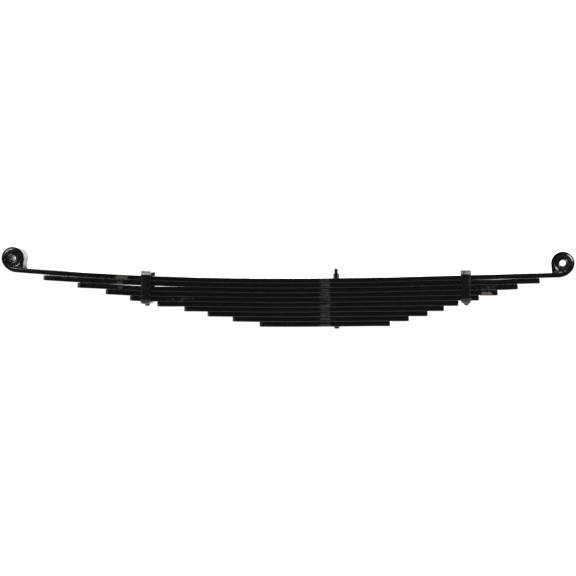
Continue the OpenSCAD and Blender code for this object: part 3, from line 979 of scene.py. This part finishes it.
def add_camera():
    """The camera, from its place, its three angles and its lens."""
    data = bpy.data.cameras.new("camera")
    data.lens, data.sensor_width = CAMERA_LENS, CAMERA_SENSOR
    data.clip_start, data.clip_end = 0.1, 100
    camera = bpy.data.objects.new("camera", data)
    yaw, pitch, roll = (math.radians(a) for a in (CAMERA_YAW, CAMERA_PITCH, CAMERA_ROLL))
    level = math.cos(pitch)
    forward = Vector((-math.sin(yaw) * level, math.cos(yaw) * level, math.sin(pitch)))
    right = forward.cross(Vector((0, 0, 1))).normalized()
    up = right.cross(forward)
    right, up = (right * math.cos(roll) + up * math.sin(roll),
                 up * math.cos(roll) - right * math.sin(roll))
    rotation = Matrix((right, up, -forward)).transposed()
    camera.matrix_world = Matrix.Translation(CAMERA_PLACE) @ rotation.to_4x4()
    bpy.context.scene.collection.objects.link(camera)
    bpy.context.scene.camera = camera


def softbox(name, place, aim, size, power, glossy=True):
    """A rectangular softbox that points from its place at another."""
    data = bpy.data.lights.new(name, "AREA")
    data.shape = "RECTANGLE"
    data.size, data.size_y = size
    data.energy = power
    lamp = bpy.data.objects.new(name, data)
    lamp.location = place
    lamp.rotation_euler = (Vector(aim) - Vector(place)).to_track_quat("-Z", "Y").to_euler()
    lamp.visible_glossy = glossy
    lamp.visible_camera = False
    bpy.context.scene.collection.objects.link(lamp)
    return lamp


def add_floor():
    """A white floor below the spring, faintly lit by itself."""
    steps = 96
    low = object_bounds()[0].z - FLOOR_DROP
    angles = [2 * math.pi * i / steps for i in range(steps)]
    verts = [Vector((FLOOR_RADII[0] * math.cos(a), FLOOR_RADII[1] * math.sin(a), low)) for a in angles]
    n = Nodes("floor_white")
    node = n.tree.nodes.new("ShaderNodeBsdfPrincipled")
    node.inputs["Base Color"].default_value = (0.9, 0.9, 0.9, 1)
    node.inputs["Roughness"].default_value = 0.9
    node.inputs["Emission Color"].default_value = (1, 1, 1, 1)
    node.inputs["Emission Strength"].default_value = FLOOR_GLOW
    n.link(node.outputs["BSDF"], n.output.inputs["Surface"])
    floor = make_object("floor", verts, [tuple(range(steps))], n.material)


def add_world():
    """White for what the camera sees past the object. For light and reflections, a white
    backdrop behind the spring, a dim ceiling, and a dark room in front of it."""
    world = bpy.data.worlds.new("studio")
    world.use_nodes = True
    tree = world.node_tree
    tree.nodes.clear()
    coords = tree.nodes.new("ShaderNodeTexCoord")
    split = tree.nodes.new("ShaderNodeSeparateXYZ")
    tree.links.new(coords.outputs["Generated"], split.inputs[0])
    behind = map_range(tree, split.outputs["Y"], 0.0, 0.5, ROOM, BACKDROP)
    above = map_range(tree, split.outputs["Z"], 0.25, 0.9, 0.0, CEILING)
    top = tree.nodes.new("ShaderNodeMath")
    top.operation = "MAXIMUM"
    tree.links.new(behind, top.inputs[0])
    tree.links.new(above, top.inputs[1])
    room = tree.nodes.new("ShaderNodeBackground")
    tree.links.new(top.outputs[0], room.inputs["Color"])
    white = tree.nodes.new("ShaderNodeBackground")
    white.inputs["Color"].default_value = (1, 1, 1, 1)
    white.inputs["Strength"].default_value = SEEN_WHITE
    path = tree.nodes.new("ShaderNodeLightPath")
    mixed = tree.nodes.new("ShaderNodeMixShader")
    tree.links.new(path.outputs["Is Camera Ray"], mixed.inputs["Fac"])
    tree.links.new(room.outputs[0], mixed.inputs[1])
    tree.links.new(white.outputs[0], mixed.inputs[2])
    output = tree.nodes.new("ShaderNodeOutputWorld")
    tree.links.new(mixed.outputs[0], output.inputs["Surface"])
    bpy.context.scene.world = world


def glint_box(name, eye, off_axis, azimuth, size, radiance):
    """A small softbox in front of the part, placed so that the camera sees it mirrored in the
    slanted side face of one eye, at that azimuth round the eye. It is off_axis degrees from
    where an upright face would mirror it."""
    view = (eye - CAMERA_PLACE).normalized()
    mirrored = Vector((view.x, -view.y, view.z))
    up = Vector((0, 0, 1))
    right = mirrored.cross(up).normalized() * -1
    tilt, turn = math.radians(off_axis), math.radians(azimuth)
    toward = (mirrored + (right * math.cos(turn) + up * math.sin(turn)) * math.tan(tilt)).normalized()
    power = radiance * math.pi * size[0] * size[1]
    lamp = softbox(name, eye + toward * GLINT_DISTANCE, eye, size, power)
    lamp.rotation_euler.rotate_axis("Z", turn)


def add_studio():
    """Room, floor, a glint for each eye, and a soft light from above."""
    add_world()
    add_floor()
    glint_box("glint_rear", ARMS["rear"]["eye"], 9.0, 117, (0.42, 0.40), 31)
    glint_box("glint_front", ARMS["front"]["eye"], 13.3, 36, (0.48, 0.50), 36)
    softbox("overhead_fill", (0, 0.4, 2.4), (0, 0, 0), (3.2, 2.0), 40, glossy=False)
    bpy.context.scene.view_settings.view_transform = "Standard"


# ---- Everything ---------------------------------------------------------------------------
def build():
    """Every piece of the spring, in its paint."""
    materials = {
        "main": leaf_paint("main_leaf_enamel", False),
        "lower": leaf_paint("lower_leaf_enamel", True),
        "leaf_02": leaf_paint("second_leaf_enamel", True, -1),
        "leaf_03": leaf_paint("third_leaf_enamel", True, 1),
        "clip": clip_paint(),
        "rivet": hardware_paint("rivet_black_enamel", 0.8),
        "bolt": hardware_paint("bolt_black_enamel"),
        "sleeve": sleeve_paint(),
        "bore": bore_steel(),
        "rubber": rubber(),
    }
    main_leaf(materials["main"])
    for node in LOWER:
        lower_leaf(node, materials.get(node, materials["lower"]))
    centre_bolt(materials["bolt"])
    nut(materials["bolt"])
    for side, arm in ARMS.items():
        rebound_clip(side, materials)
        clip_rivet(side, materials)
        bush(side, arm, materials)


build()
add_camera()
add_studio()
